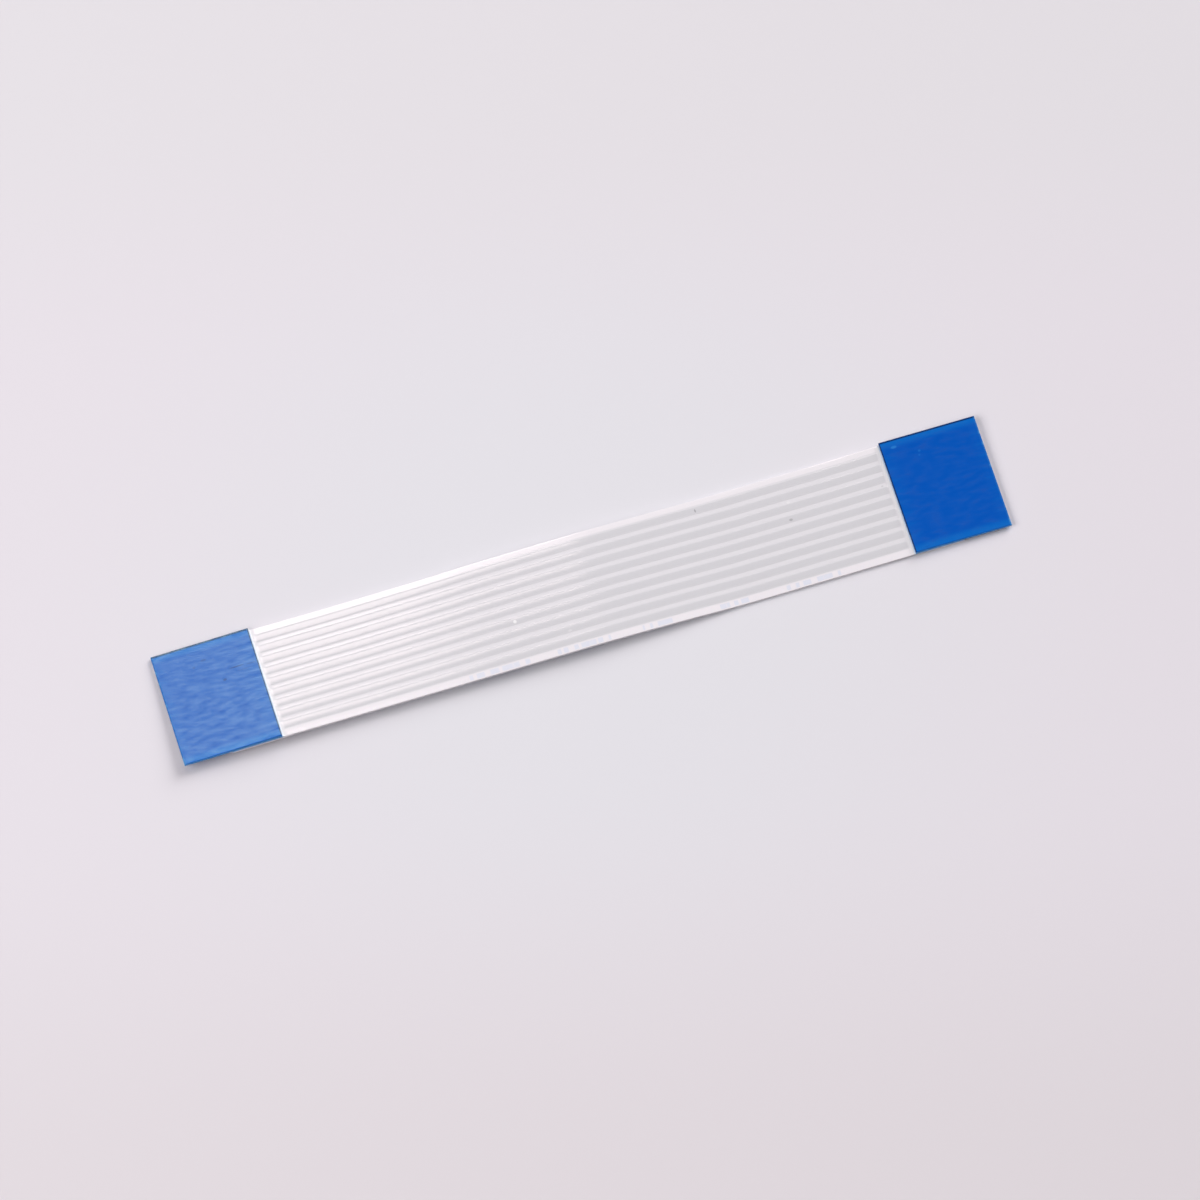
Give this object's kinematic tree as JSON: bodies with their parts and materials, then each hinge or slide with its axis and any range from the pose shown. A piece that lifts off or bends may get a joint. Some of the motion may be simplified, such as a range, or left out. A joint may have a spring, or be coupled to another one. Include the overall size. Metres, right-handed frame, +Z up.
{
  "type": "flat flex cable",
  "caption": "Straight flat flex cable: parallel tinned conductors between two white films, with bare contacts under both ends and a blue stiffener bonded over each.",
  "frame": {"origin": "on the surface that the cable lies on, below the middle of its bounding box", "axes": "+X along the cable, +Y across it, +Z up, with the stiffeners on the upper side and the bare contacts on the underside"},
  "size_m": [0.07, 0.01, 0.0011],
  "materials": {
    "film": "smooth white polyester film with a soft gloss",
    "stiffener": "deep blue polyester, glossy, with faint scuffs",
    "conductor": "bright tin plating on flat copper"
  },
  "bodies": {
    "root": {"film_top": "film", "film_bottom": "film", "stiffener_left": "stiffener", "stiffener_right": "stiffener", "conductor_1": "conductor", "conductor_2": "conductor", "conductor_3": "conductor", "conductor_4": "conductor", "conductor_5": "conductor", "conductor_6": "conductor", "conductor_7": "conductor", "conductor_8": "conductor", "conductor_9": "conductor"}
  },
  "joints": []
}
